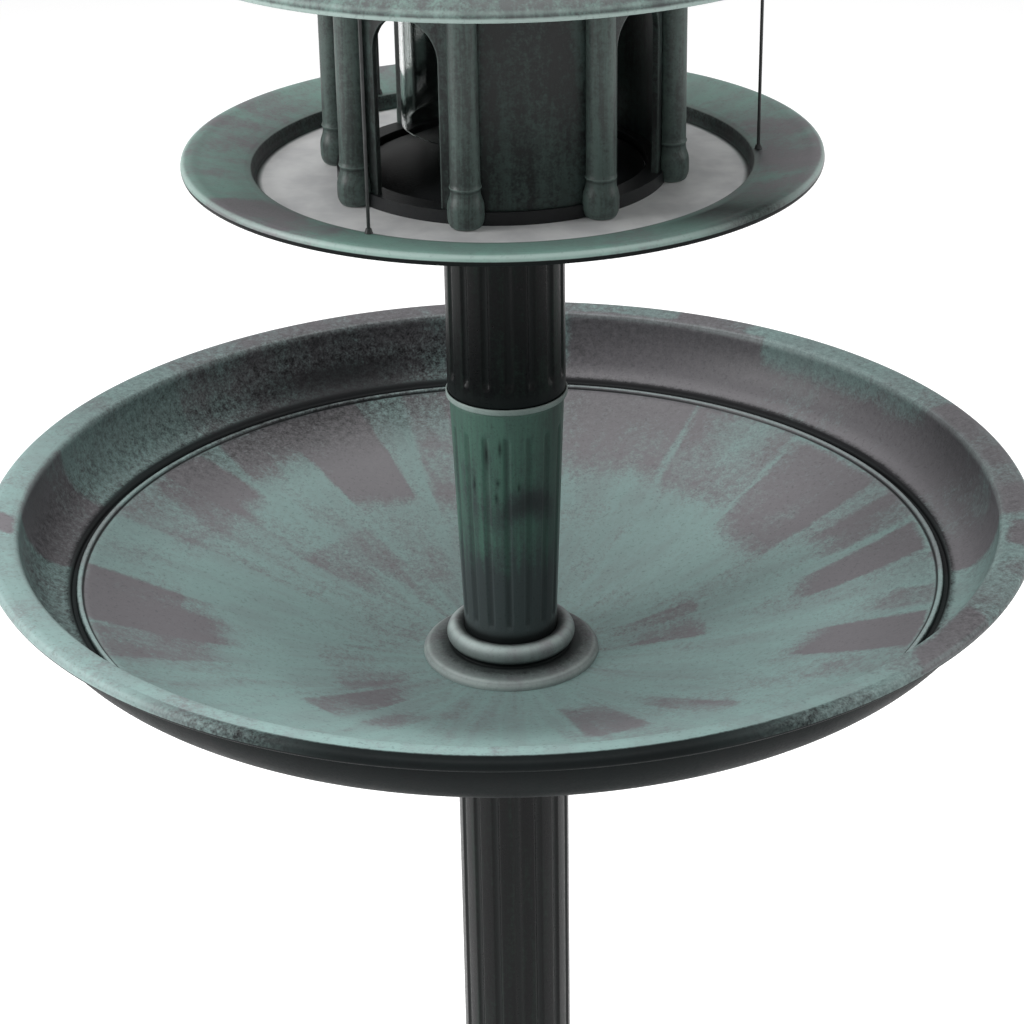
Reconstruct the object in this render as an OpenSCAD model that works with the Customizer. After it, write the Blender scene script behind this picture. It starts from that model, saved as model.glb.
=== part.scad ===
/* [Heights] */
// Height of the bath's rim above the ground
bath_rim_z = 637; // [600:1:700]
// Height of the feeder tray's rim above the bath's rim
tray_rise = 172.2; // [168:0.1:190]
// Height of the little house above the tray's floor, up to the top frame
house_h = 108; // [100:1:130]
// Overall height, to the top of the finial
total_h = 1050; // [1040:1:1120]

/* [Bath] */
// Outer radius of the bath
bath_r = 250; // [240:1:280]
// Width of the bath's lip
lip_w = 16; // [14:0.5:18]
// Radius of the dished floor, where the side wall starts
dish_r = 212; // [195:1:215]
// Depth of the dished floor's edge below the rim
dish_edge_drop = 35; // [30:1:40]
// Depth of the floor's centre below the rim
dish_drop = 88; // [80:1:92]
// Thickness of the moulded walls
wall = 3.5; // [3:0.1:4]

/* [Pole] */
// Radius of the straight pole sections
pole_r = 28; // [27:0.5:30]
// Radius of the tapered section at its foot
taper_foot_r = 22.7; // [22:0.1:24]
// Number of flutes around each pole section
flute_count = 16; // [8:1:20]
// Radius of each flute's round-nosed cutter
flute_r = 1.9; // [1.5:0.1:2.2]
// Depth of each flute
flute_depth = 1.3; // [1:0.1:1.4]

/* [Foot] */
// Radius of the round foot
foot_r = 150; // [150:1:180]
// Height of the foot's top plate
foot_h = 98; // [94:1:120]
// Radius of the circle that the ground peg holes lie on
peg_circle_r = 137; // [135:0.5:138]
// Radius of each ground peg hole
peg_hole_r = 4; // [3:0.1:4.5]

/* [Feeder] */
// Outer radius of the feeder tray
tray_r = 145; // [143:1:150]
// Radius of the recessed seed floor
seed_floor_r = 113; // [112:1:114]
// Depth of the seed floor below the tray's rim
seed_floor_drop = 12.2; // [11.5:0.1:13]
// Outer radius of the house wall
house_r = 73.5; // [72:0.5:75]
// Radius of each pilaster
pilaster_r = 8; // [6:0.5:9]
// Width of each doorway
door_w = 34; // [28:1:36]
// Outer radius of the clear seed tube
tube_r = 45; // [40:1:46]
// Radius of the roof's eave
roof_r = 150; // [146:1:160]

/* [Hidden] */

// Meeting faces on different moving bodies stand this far apart
gap = 0.3;
// Running clearance of a spigot that turns in a bore
run_gap = 0.05;
fine = 96;

// Bath levels
dish_floor_z = bath_rim_z - dish_drop;
dish_edge_z = bath_rim_z - dish_edge_drop;
lip_drop = 1.7;
spigot_r = 19.7;
spigot_bore_r = 20;
hub_flat_r = 43;
dish_bulge = 1.3;

// Pole levels
flute_centre = flute_r - flute_depth;
collar_seat_h = 12;
bath_socket_top = dish_floor_z - wall;
bath_socket_h = 40.5;
middle_top = bath_socket_top - 27;
taper_foot_z = dish_floor_z + collar_seat_h;
taper_top_z = bath_rim_z + 50;
taper_top_r = 27.2;
bead_seat_h = 2;
upper_foot_z = taper_top_z + bead_seat_h;
lower_foot_z = foot_h + collar_seat_h;
lower_top_z = 286;
middle_foot_z = lower_top_z + bead_seat_h;
pole_bore_r = 24;
end_round = 2.8;
plug_depth = 22;

// Feeder levels
tray_rim_z = bath_rim_z + tray_rise;
seed_floor_z = tray_rim_z - seed_floor_drop;
tray_wall = 3;
brim_outer_z = tray_rim_z - 1.1;
brim_inner_z = tray_rim_z - 5.7;
tray_under_z = seed_floor_z - tray_wall;
upper_top_z = tray_under_z - gap;
hub_r = pole_bore_r - run_gap;
plinth_r = house_r + 1.5;
plinth_h = 6;
house_inner_r = house_r - 3;
frame_z = seed_floor_z + house_h;
frame_h = 5.5;
frame_r = 86.5;
frame_hole_r = 66;
seat_inner_r = tube_r + 2;
seat_outer_r = tube_r + 9;
tube_low_z = seed_floor_z + 24;
tube_top_z = frame_z + frame_h + 14;
pilaster_centre_r = house_r + 3.5;
pilaster_first = -102;
door_first = -124.5;
wire_r = 0.75;
wire_circle_r = seed_floor_r + 3;
wire_first = -119;
wire_foot_z = brim_inner_z + 0.9;

// Roof levels
eave_z = frame_z;
dome_foot_z = eave_z + 13;
dome_r = roof_r - 10;
dome_top_z = total_h - 47;
roof_wall = 3;
skirt_inner_r = frame_r + 1;
wire_boss_low_z = eave_z + 30;
wire_top_z = wire_boss_low_z + 8;

// Points of a quarter ellipse that leaves (r1, z1) upright and reaches (r2, z2) level
function upright_then_level(r1, z1, r2, z2, steps = 8) =
    [for (i = [0:steps]) [r2 + (r1 - r2) * cos(90 * i / steps), z1 + (z2 - z1) * sin(90 * i / steps)]];

// Points of a quarter ellipse that leaves (r1, z1) level and reaches (r2, z2) upright
function level_then_upright(r1, z1, r2, z2, steps = 8) =
    [for (i = [0:steps]) [r1 + (r2 - r1) * sin(90 * i / steps), z2 + (z1 - z2) * cos(90 * i / steps)]];

// Height of the bath's dished floor at radius r
function dish_z(r) = dish_floor_z
    + (dish_edge_z - 1 - dish_floor_z) * pow((r - hub_flat_r) / (dish_r - 7 - hub_flat_r), dish_bulge);

// Height of the roof's dome at radius r, offset inwards by t
function dome_z(r, t = 0) = dome_foot_z
    + (dome_top_z - dome_foot_z - t) * sqrt(1 - pow(r / (dome_r - t), 2));

// A solid of revolution from an outline of [radius, height] points
module turned(points) {
    rotate_extrude($fn = fine) polygon(points);
}

// A pipe between two heights
module pipe(r_out, r_in, z_low, z_high) {
    translate([0, 0, z_low]) difference() {
        cylinder(h = z_high - z_low, r = r_out, $fn = fine);
        translate([0, 0, -1]) cylinder(h = z_high - z_low + 2, r = r_in, $fn = fine);
    }
}

// Things set out evenly around the axis
module around(count, first = 0) {
    for (i = [0:count - 1]) rotate([0, 0, first + i * 360 / count]) children();
}

// A bar with hemispherical ends, standing along +Z
module round_bar(r, length) {
    rotate_extrude($fn = 32) intersection() {
        translate([0, -r]) square([r, length + 2 * r]);
        union() {
            square([r, length]);
            circle(r);
            translate([0, length]) circle(r);
        }
    }
}

// The flutes of one pole section, as solids to cut away
module flutes(foot_rad, top_rad, foot_z, top_z, low_z, high_z, first) {
    slope = (top_rad - foot_rad) / (top_z - foot_z);
    low_r = foot_rad + slope * (low_z - foot_z) + flute_centre;
    around(flute_count, first) translate([low_r, 0, low_z]) rotate([0, atan(slope), 0]) rotate([0, 0, 180])
        round_bar(flute_r, high_z - low_z);
}

// A fluted pole section with a rounded foot, a bore from the top and a spigot below
module pole_section(foot_rad, top_rad, foot_z, top_z, flute_low, flute_high, plug_r, plug_len, bore_r, first) {
    difference() {
        turned(concat(
            [[plug_r - 3, foot_z - plug_len], [plug_r, foot_z - plug_len], [plug_r, foot_z]],
            level_then_upright(foot_rad - end_round, foot_z, foot_rad, foot_z + end_round, 5),
            [[top_rad, top_z], [bore_r, top_z], [bore_r, foot_z + 8], [plug_r - 3, foot_z + 3]]
        ));
        flutes(foot_rad, top_rad, foot_z, top_z, flute_low, flute_high, first);
    }
}

// A two-step collar around the foot of a pole section: a flange below and a round ring above
module collar(rad, z, bore) {
    difference() {
        rotate_extrude($fn = fine) union() {
            translate([bore, z]) polygon(concat(
                [[0, 0], [rad + 20.6 - bore, 0], [rad + 20.6 - bore, 2]],
                [[rad + 19.6 - bore, 3.6], [rad + 17.6 - bore, 4.2], [rad + 6 - bore, 5], [0, 5]]
            ));
            translate([bore, z]) square([rad + 5.5 - bore, collar_seat_h]);
            translate([rad + 3.9, z + 11]) circle(5);
        }
        translate([0, 0, z + collar_seat_h]) cylinder(h = 20, r = rad + 0.15, $fn = fine);
    }
}

// A countersunk screw, head down, with its underside at z
module screw(z, head_r, head_h, shank_r, length) {
    translate([0, 0, z]) cylinder(h = head_h, r1 = head_r - 0.6, r2 = head_r, $fn = 32);
    translate([0, 0, z + head_h]) cylinder(h = length, r = shank_r, $fn = 24);
}

module foot_outline(t) {
    polygon(concat(
        [[0, 0], [foot_r - t, 0], [foot_r - t, 6], [foot_r - t - 3, 9 - t]],
        [[126 - t, 9 - t], [126 - t, 15 - t], [122 - t, 18 - t]],
        level_then_upright(122 - t, 18 - t, 50 - t, 84, 10),
        [[50 - t, foot_h - t], [0, foot_h - t]]
    ));
}

module base_foot() color("#3f5a50") {
    difference() {
        union() {
            rotate_extrude($fn = fine) difference() {
                foot_outline(0);
                difference() {
                    foot_outline(wall);
                    translate([122, -1]) square([foot_r, 10]);
                }
                translate([-1, -1]) square([123, 3]);
                square([spigot_bore_r, foot_h + 1]);
            }
            intersection() {
                rotate_extrude($fn = fine) foot_outline(1);
                translate([0, 0, 6]) {
                    around(3, 30) translate([104, 0, 0]) cylinder(h = 40, r = 6, $fn = 32);
                }
            }
            translate([0, 98, 12]) cylinder(h = 24, r = 15, $fn = 48);
        }
        around(3, -90) translate([peg_circle_r, 0, -1]) cylinder(h = 20, r = peg_hole_r, $fn = 32);
        around(3, 30) translate([104, 0, 2]) cylinder(h = 14, r = 1.7, $fn = 24);
        translate([0, 98, 11]) cylinder(h = 30, r = 10, $fn = 48);
    }
}

module base_plate() color("#2a2c2c") {
    difference() {
        translate([0, 0, 2.5]) cylinder(h = 3.2, r = 121.5, $fn = fine);
        around(3, 30) translate([104, 0, 0]) cylinder(h = 10, r = 2, $fn = 24);
    }
}

module base_screws() color("#8a8c8c") {
    around(3, 30) translate([104, 0, 0]) screw(0.8, 4, 1.6, 1.6, 11);
}

module filler_plug() color("#1b1d1d") {
    translate([0, 98, 0]) {
        difference() {
            translate([0, 0, 36 + gap]) cylinder(h = 4, r1 = 14, r2 = 12.5, $fn = 48);
            translate([-9, -1.4, 38.4]) cube([18, 2.8, 3]);
        }
        translate([0, 0, 22]) cylinder(h = 14 + gap, r = 10 - run_gap, $fn = 48);
    }
}

module base_collar() color("#9fb0aa") {
    collar(pole_r, foot_h, spigot_bore_r);
}

module pole_lower_section() color("#26302c") {
    pole_section(pole_r, pole_r, lower_foot_z, lower_top_z, lower_foot_z + 16, lower_top_z - 14,
        spigot_r, 32, pole_bore_r, 2.6);
}

module pole_lower_ring() color("#9fb0aa") {
    bead_ring(lower_top_z);
}

module pole_middle_section() color("#202422") {
    pole_section(pole_r, pole_r, middle_foot_z, middle_top, middle_foot_z + 12, middle_top - 14,
        pole_bore_r - gap, plug_depth, pole_bore_r, 2.6);
}

module bath_socket() color("#202422") {
    top = bath_socket_top;
    turned(concat(
        [[spigot_bore_r, top], [52, top], [52, top - 4]],
        level_then_upright(49, top - 6, 31.5, top - 26, 6),
        [[31.5, top - bath_socket_h], [pole_r + 0.2, top - bath_socket_h], [pole_r + 0.2, top - 27]],
        [[spigot_bore_r, top - 27]]
    ));
}

module bath_bowl() color("#7f9a92") {
    lip_r = bath_r - lip_w;
    lip_z = bath_rim_z - lip_drop;
    lip_wall = 4.2;
    wall_top = upright_then_level(lip_r - 0.6, lip_z - 1.2, dish_r, dish_edge_z, 10);
    wall_under = upright_then_level(lip_r + 3, lip_z - lip_wall - 2, dish_r - 6, dish_edge_z - wall, 10);
    dish = [for (i = [0:12]) let (r = dish_r - 7 + (hub_flat_r - dish_r + 7) * i / 12) [r, dish_z(r)]];
    turned(concat(
        [[spigot_bore_r, bath_socket_top]],
        [for (i = [12:-1:0]) dish[i] - [0, wall]],
        [for (i = [10:-1:0]) wall_under[i]],
        [[lip_r + 4, lip_z - lip_wall], [bath_r - 3, bath_rim_z - 5.4], [bath_r - 0.9, bath_rim_z - 5]],
        [[bath_r, bath_rim_z - 3.9], [bath_r - 0.3, bath_rim_z - 2.3], [bath_r - 1.6, bath_rim_z - 0.8]],
        [[bath_r - 3.6, bath_rim_z], [bath_r - 6, bath_rim_z - 0.1], [lip_r + 1, lip_z + 0.1]],
        [[lip_r - 0.2, lip_z - 0.3]],
        wall_top,
        [[dish_r - 1, dish_edge_z - 1.3], [dish_r - 2.5, dish_edge_z - 1.3]],
        [[dish_r - 3.2, dish_edge_z + 0.4], [dish_r - 5.2, dish_edge_z + 0.4], [dish_r - 6, dish_edge_z - 1]],
        dish,
        [[spigot_bore_r, dish_floor_z]]
    ));
}

module bath_collar() color("#9fb0aa") {
    collar(taper_foot_r, dish_floor_z, spigot_bore_r);
}

module pole_tapered_section() color("#4f7566") {
    pole_section(taper_foot_r, taper_top_r, taper_foot_z, taper_top_z, taper_foot_z + 13, taper_top_z - 14,
        spigot_r, 76, 22.3, -1.2);
}

// The light ring that closes the joint between two pole sections, with a seat for the upper one
module bead_ring(z) {
    turned([
        [pole_bore_r, z], [pole_r - 0.4, z], [pole_r + 0.5, z + 0.5], [pole_r + 0.9, z + 1.6],
        [pole_r + 0.8, z + 2.9], [pole_r + 0.5, z + 3.4], [pole_r + 0.1, z + 3.3],
        [pole_r + 0.1, z + bead_seat_h], [pole_bore_r, z + bead_seat_h]
    ]);
}

module joint_bead() color("#a9bab3") {
    bead_ring(taper_top_z);
}

module pole_upper_section() color("#1c211f") {
    pole_section(pole_r, pole_r, upper_foot_z, upper_top_z, upper_foot_z + 13, upper_top_z - 14,
        22, plug_depth, pole_bore_r, 2.6);
}

module tray_socket() color("#202422") {
    turned([[pole_r + 0.5, tray_under_z - 15], [pole_r + 4, tray_under_z - 15], [pole_r + 6, tray_under_z - 12],
        [pole_r + 8, tray_under_z - 5], [pole_r + 16, tray_under_z - 2], [pole_r + 16, tray_under_z],
        [pole_r + 0.5, tray_under_z]]);
}

module feeder_tray() color("#84a097") {
    difference() {
        turned([
            [hub_r - 3, tray_under_z - 34], [hub_r, tray_under_z - 34], [hub_r, tray_under_z],
            [seed_floor_r - 1.5, tray_under_z], [seed_floor_r + 1, tray_under_z + 1.5],
            [seed_floor_r + 2.4, brim_inner_z - tray_wall], [tray_r - 6, brim_outer_z - tray_wall],
            [tray_r - 4, tray_rim_z - 5], [tray_r - 1.2, tray_rim_z - 5], [tray_r, tray_rim_z - 3.8],
            [tray_r, tray_rim_z - 1.8], [tray_r - 1.2, tray_rim_z - 0.5], [tray_r - 3, tray_rim_z],
            [tray_r - 6.5, tray_rim_z], [tray_r - 9, brim_outer_z],
            [seed_floor_r + 0.6, brim_inner_z], [seed_floor_r, brim_inner_z - 0.6], [seed_floor_r - 0.8, seed_floor_z], [hub_r - 3, seed_floor_z]
        ]);
        around(4, -80) translate([69.5, 0, seed_floor_z - 10]) cylinder(h = 20, r = 1.6, $fn = 24);
        around(3, wire_first) translate([wire_circle_r, 0, wire_foot_z - 10])
            cylinder(h = 20, r = wire_r + 0.1, $fn = 24);
    }
}

module house_screws() color("#8a8c8c") {
    around(4, -80) translate([69.5, 0, 0]) screw(tray_under_z - 2.2, 3.4, 2.1, 1.5, 8);
}

module house_plinth() color("#1c211f") {
    difference() {
        pipe(plinth_r, 65.5, seed_floor_z, seed_floor_z + plinth_h);
        around(4, -80) translate([69.5, 0, seed_floor_z - 1]) cylinder(h = 6, r = 1.6, $fn = 24);
    }
}

module doorway() {
    rise = 65;
    translate([40, 0, seed_floor_z + plinth_h - 1]) rotate([90, 0, 90]) linear_extrude(60) union() {
        translate([-door_w / 2, 0]) square([door_w, rise]);
        translate([0, rise]) circle(door_w / 2, $fn = 64);
    }
}

module house_wall() color("#55776b") {
    difference() {
        pipe(house_r, house_inner_r, seed_floor_z + plinth_h, frame_z);
        around(4, door_first) doorway();
    }
}

module pilaster(index) color("#4f6b61") {
    low = seed_floor_z;
    difference() {
        rotate([0, 0, pilaster_first + (index - 1) * 45]) translate([pilaster_centre_r, 0, 0]) turned(concat(
            [[0, low], [pilaster_r - 3, low]],
            level_then_upright(pilaster_r - 3, low, pilaster_r, low + 4, 4),
            [[pilaster_r, low + 12], [pilaster_r - 1.5, low + 15], [pilaster_r - 1.5, frame_z - 10]],
            [[pilaster_r, frame_z - 7], [pilaster_r, frame_z], [0, frame_z]]
        ));
        cylinder(h = 2000, r = house_r + 0.1, $fn = fine);
        cylinder(h = seed_floor_z + plinth_h + 0.1, r = plinth_r + 0.1, $fn = fine);
    }
}

module top_frame() color("#3f5a50") {
    pipe(frame_r, frame_hole_r, frame_z, frame_z + frame_h);
    pipe(seat_outer_r, seat_inner_r, frame_z, frame_z + frame_h);
    around(4, -80) translate([(seat_outer_r + frame_hole_r) / 2, 0, frame_z + frame_h / 2])
        cube([frame_hole_r - seat_outer_r + 2, 10, frame_h], center = true);
}

module seed_cone() color("#26302c") {
    translate([0, 0, seed_floor_z]) cylinder(h = 3, r = 64, $fn = fine);
    translate([0, 0, seed_floor_z + 3]) cylinder(h = 22, r1 = 64, r2 = 12, $fn = fine);
}

module hopper_tube() color("#dfe8e6", 0.35) {
    pipe(tube_r, tube_r - 2, tube_low_z, tube_top_z);
}

module hopper_flange() color("#3a4a44") {
    low = frame_z + frame_h + gap;
    turned([[tube_r + 0.1, low], [seat_outer_r, low], [seat_outer_r, low + 2.4], [tube_r + 4, low + 4],
        [tube_r + 3, low + 8], [tube_r + 0.1, low + 8]]);
}

module roof_shell() color("#6c8c82") {
    top_hole_r = 5;
    skirt_low = frame_z - 4;
    ledge_z = frame_z + frame_h + gap;
    difference() {
        union() {
            turned(concat(
                [[roof_r - 4, eave_z], [roof_r, eave_z], [roof_r, eave_z + 4]],
                [[roof_r - 3, eave_z + 7], [dome_r + 2, dome_foot_z - 3]],
                [for (i = [0:14]) let (r = dome_r * cos(90 * i / 15)) [r, dome_z(r)]],
                [[top_hole_r, dome_top_z], [top_hole_r, dome_top_z - roof_wall]],
                [for (i = [14:-1:0]) let (r = (dome_r - roof_wall) * cos(90 * i / 15)) [r, dome_z(r, roof_wall)]],
                [[dome_r - roof_wall, dome_foot_z - 3], [roof_r - 5.5, eave_z + 4]]
            ));
            turned([[skirt_inner_r, skirt_low], [skirt_inner_r + 3, skirt_low],
                [skirt_inner_r + 3, dome_z(skirt_inner_r + 3) - 1.5], [skirt_inner_r, dome_z(skirt_inner_r) - 1.5],
                [skirt_inner_r, ledge_z + 3], [frame_r - 7, ledge_z + 3], [frame_r - 7, ledge_z],
                [skirt_inner_r, ledge_z]]);
            intersection() {
                turned(concat([[0, eave_z], [dome_r - 1, eave_z]],
                    [for (i = [0:15]) let (r = (dome_r - 1) * cos(90 * i / 15)) [r, dome_z(r, 1)]]));
                around(3, wire_first) translate([wire_circle_r, 0, wire_boss_low_z])
                    cylinder(h = 60, r = 3.2, $fn = 24);
            }
        }
        around(3, wire_first) translate([wire_circle_r, 0, wire_boss_low_z - 1])
            cylinder(h = 14, r = wire_r + 0.4, $fn = 24);
    }
}

module roof_finial() color("#9fb0aa") {
    rotate_extrude($fn = fine) union() {
        translate([0, dome_top_z - 12]) square([4.9, 14]);
        translate([0, dome_top_z + 0.1]) square([15, 3]);
        translate([0, dome_top_z + 3]) square([9, 5]);
        translate([0, dome_top_z + 7]) square([5, 16]);
        translate([0, dome_top_z + 12]) square([8, 3]);
        intersection() {
            translate([0, total_h - 15.5]) circle(15.5, $fn = 64);
            translate([0, total_h - 40]) square([20, 50]);
        }
    }
}

module guide_wire(index) color("#2c2f2f") {
    rotate([0, 0, wire_first + (index - 1) * 120]) translate([wire_circle_r, 0, 0]) {
        translate([0, 0, wire_foot_z - 4]) cylinder(h = wire_top_z - wire_foot_z + 4, r = wire_r, $fn = 16);
        translate([0, 0, wire_foot_z]) cylinder(h = 2, r1 = 1.8, r2 = 1.2, $fn = 24);
    }
}

base_foot();
base_plate();
base_screws();
filler_plug();
base_collar();
pole_lower_section();
pole_lower_ring();
pole_middle_section();
bath_socket();
bath_bowl();
bath_collar();
pole_tapered_section();
joint_bead();
pole_upper_section();
tray_socket();
feeder_tray();
house_screws();
house_plinth();
house_wall();
top_frame();
seed_cone();
hopper_tube();
hopper_flange();
roof_shell();
roof_finial();
for (i = [1:8]) pilaster(i);
for (i = [1:3]) guide_wire(i);
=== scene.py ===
"""Looks for the pedestal bird feeder: painted, dry-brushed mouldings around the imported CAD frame.

Everything is in metres, +Z up, with the origin on the ground under the pole. Outlines are written in
millimetres as (radius, height, fillet) corners and turned about an upright axis.
"""

import math

import bmesh
import bpy
import numpy as np
from mathutils import Matrix, Vector


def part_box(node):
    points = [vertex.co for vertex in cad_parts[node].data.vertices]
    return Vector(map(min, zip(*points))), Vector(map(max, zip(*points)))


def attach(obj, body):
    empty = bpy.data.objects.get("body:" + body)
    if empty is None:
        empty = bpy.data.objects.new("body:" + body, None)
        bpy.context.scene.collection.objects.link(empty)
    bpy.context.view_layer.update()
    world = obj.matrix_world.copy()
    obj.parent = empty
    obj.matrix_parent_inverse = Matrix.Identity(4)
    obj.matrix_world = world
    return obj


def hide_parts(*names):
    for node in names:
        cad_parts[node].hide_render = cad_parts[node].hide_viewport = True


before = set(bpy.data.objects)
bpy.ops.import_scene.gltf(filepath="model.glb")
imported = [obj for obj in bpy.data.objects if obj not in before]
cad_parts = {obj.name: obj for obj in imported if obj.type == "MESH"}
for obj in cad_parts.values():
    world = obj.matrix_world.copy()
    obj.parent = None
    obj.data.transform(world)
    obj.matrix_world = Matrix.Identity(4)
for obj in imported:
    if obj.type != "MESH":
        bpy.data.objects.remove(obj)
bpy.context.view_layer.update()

MM = 0.001
AXIS_R = 1e-6  # a point nearer the axis than this is on it
BARE_TONE = 0.015  # the attribute tone of an unpainted underside

# ---------------------------------------------------------------- levels and radii, in millimetres


def low_z(node):
    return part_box(node)[0][2] / MM


def high_z(node):
    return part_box(node)[1][2] / MM


def outer_r(node):
    low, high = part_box(node)
    return max(high[0], high[1], -low[0], -low[1]) / MM


# bath bowl: the lip's top, the foot of the side wall, the floor round the pole
RIM_Z = high_z("bath_bowl")
BATH_R = outer_r("bath_bowl")
DISH_R = 212.0
DISH_EDGE_Z = RIM_Z - 35.0
FLOOR_R = DISH_R - 7.0
FLOOR_Z = RIM_Z - 88.0
HUB_R = 43.0
HOLE_R = 20.0
WALL = 3.5

# pole: fluted sections that stand in collars and beads
POLE_R = 28.0
POLE_BORE_R = 24.0
TAPER_FOOT_R = 22.7
TAPER_TOP_R = 27.2
TAPER_BORE_R = 19.0
FLUTES = 16
FLUTE_STOP = 14.0  # plain band above the flutes
COLLAR_SEAT_H = 12.0
BEAD_SEAT_H = 2.0
FOOT_TOP_Z = high_z("base_foot")

# feeder: tray, house and roof
TRAY_Z = high_z("feeder_tray")
TRAY_R = outer_r("feeder_tray")
TRAY_HUB_R = 23.95
SEED_Z = low_z("house_plinth")
SEED_R = 113.0
HOUSE_R = 73.5
PILASTERS = 8
PILASTER_CENTRE_R = 77.0
PILASTER_FIRST = -102.0
WIRES = 3
FRAME_Z = low_z("top_frame")
FRAME_TOP_Z = high_z("top_frame")
ROOF_R = outer_r("roof_shell")
ROOF_TOP_Z = high_z("roof_shell")
ROOF_WALL = 3.0
SKIRT_R = 87.5
FINIAL_TOP_Z = high_z("roof_finial")


# ---------------------------------------------------------------- camera, floor and lights


def add_camera():
    """26 degrees down on the bowl, from the front, with the frame turned by about one degree."""
    yaw, pitch, roll = 0.0014, 0.4553, -0.0173
    place = Vector((0.0, -1.0956, RIM_Z * MM + 0.5236))
    ahead = math.cos(pitch)
    forward = Vector((math.sin(yaw) * ahead, math.cos(yaw) * ahead, -math.sin(pitch)))
    level = Vector((math.cos(yaw), -math.sin(yaw), 0.0))
    upright = level.cross(forward)
    right = math.cos(roll) * level + math.sin(roll) * upright
    up = -math.sin(roll) * level + math.cos(roll) * upright
    data = bpy.data.cameras.new("camera")
    data.sensor_width = 36.0
    data.lens = 88.6
    data.clip_end = 60.0
    camera = bpy.data.objects.new("camera", data)
    bpy.context.scene.collection.objects.link(camera)
    turn = Matrix((right, up, -forward)).transposed().to_4x4()
    camera.matrix_world = Matrix.Translation(place) @ turn
    bpy.context.scene.camera = camera


def add_light(name, place, target, size, power, colour=(1.0, 1.0, 1.0)):
    data = bpy.data.lights.new(name, "AREA")
    data.shape = "RECTANGLE"
    data.size, data.size_y = size
    data.energy = power
    data.color = colour
    light = bpy.data.objects.new(name, data)
    light.location = place
    light.rotation_euler = (Vector(target) - Vector(place)).to_track_quat("-Z", "Y").to_euler()
    bpy.context.scene.collection.objects.link(light)


def add_studio():
    world = bpy.data.worlds.new("studio")
    world.use_nodes = True
    world.node_tree.nodes["Background"].inputs[0].default_value = (1.0, 1.0, 1.0, 1.0)
    world.node_tree.nodes["Background"].inputs[1].default_value = 0.42
    bpy.context.scene.world = world
    bpy.context.scene.view_settings.view_transform = "Standard"
    bpy.ops.mesh.primitive_plane_add(size=24.0, location=(0.0, 0.0, 0.0))
    floor = bpy.context.object
    floor.name = "floor"
    paper = bpy.data.materials.new("floor_paper")
    paper.use_nodes = True
    shader = paper.node_tree.nodes["Principled BSDF"]
    shader.inputs["Base Color"].default_value = (0.88, 0.88, 0.88, 1.0)
    shader.inputs["Emission Color"].default_value = (1.0, 1.0, 1.0, 1.0)
    shader.inputs["Emission Strength"].default_value = 0.35
    shader.inputs["Roughness"].default_value = 0.9
    shader.inputs["Specular IOR Level"].default_value = 0.1
    floor.data.materials.append(paper)
    centre = (0.0, 0.0, 0.7)
    add_light("overhead", (-0.2, 0.3, 2.9), (0.0, 0.3, 0.0), (3.2, 3.2), 96.0)
    add_light("left_box", (-2.3, -0.5, 1.5), centre, (0.9, 1.8), 40.0)
    add_light("right_box", (2.3, -0.2, 1.3), centre, (0.5, 1.6), 10.0)


# ---------------------------------------------------------------- outlines and turned meshes


def rounded(corners, steps=5):
    """A closed outline of (radius, height, fillet) corners, with each fillet drawn as an arc."""
    points = []
    count = len(corners)
    for i, (r, z, fillet) in enumerate(corners):
        here = np.array((r, z))
        before = np.array(corners[i - 1][:2]) - here
        after = np.array(corners[(i + 1) % count][:2]) - here
        reach_before, reach_after = np.linalg.norm(before), np.linalg.norm(after)
        cut = min(fillet, 0.45 * reach_before, 0.45 * reach_after)
        if cut < 1e-3:
            points.append(here)
            continue
        start = here + before / reach_before * cut
        end = here + after / reach_after * cut
        for k in range(steps + 1):
            t = k / steps
            points.append((1 - t) ** 2 * start + 2 * t * (1 - t) * here + t**2 * end)
    return np.array(points)


def cove(r1, z1, r2, z2, level_first, steps=12):
    """Corners along a quarter ellipse between two points, level at the first end or at the second."""
    corners = []
    for k in range(steps + 1):
        a = 0.5 * math.pi * k / steps
        if level_first:
            corners.append((r1 + (r2 - r1) * math.sin(a), z2 + (z1 - z2) * math.cos(a), 0.0))
        else:
            corners.append((r2 + (r1 - r2) * math.cos(a), z1 + (z2 - z1) * math.sin(a), 0.0))
    return corners


def refine(points, step):
    """Adds points along a closed outline so that no stretch is longer than step(radius, height)."""
    out = []
    for a, b in zip(points, np.roll(points, -1, axis=0)):
        length = np.linalg.norm(b - a) if max(a[0], b[0]) > AXIS_R else 0.0
        pieces = max(1, math.ceil(length / step(*((a + b) / 2))))
        out.extend(a + (b - a) * k / pieces for k in range(pieces))
    return np.array(out)


def signed_area(points):
    """Twice an outline's area, above 0 where it runs anticlockwise."""
    after = np.roll(points, -1, axis=0)
    return np.sum(points[:, 0] * after[:, 1] - after[:, 0] * points[:, 1])


def outline_normals(points):
    along = np.roll(points, -1, axis=0) - np.roll(points, 1, axis=0)
    normal = np.stack([along[:, 1], -along[:, 0]], axis=1)
    normal /= np.maximum(np.linalg.norm(normal, axis=1, keepdims=True), 1e-9)
    return normal if signed_area(points) > 0 else -normal


def edge_strength(points, reach=2.2):
    """How far each point stands out from its neighbourhood: above 0 on edges, below 0 in grooves."""
    normal = outline_normals(points)
    spacing = np.linalg.norm(points[:, None] - points[None], axis=2)
    weight = np.maximum(0.0, 1.0 - spacing / reach)
    step = np.linalg.norm(np.roll(points, -1, axis=0) - np.roll(points, 1, axis=0), axis=1) / 2
    weight = weight * step[None]
    mean = weight @ points / weight.sum(axis=1, keepdims=True)
    lift = np.sum((points - mean) * normal, axis=1)
    return np.clip(lift / (0.14 * reach), -1.0, 1.0)


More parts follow.
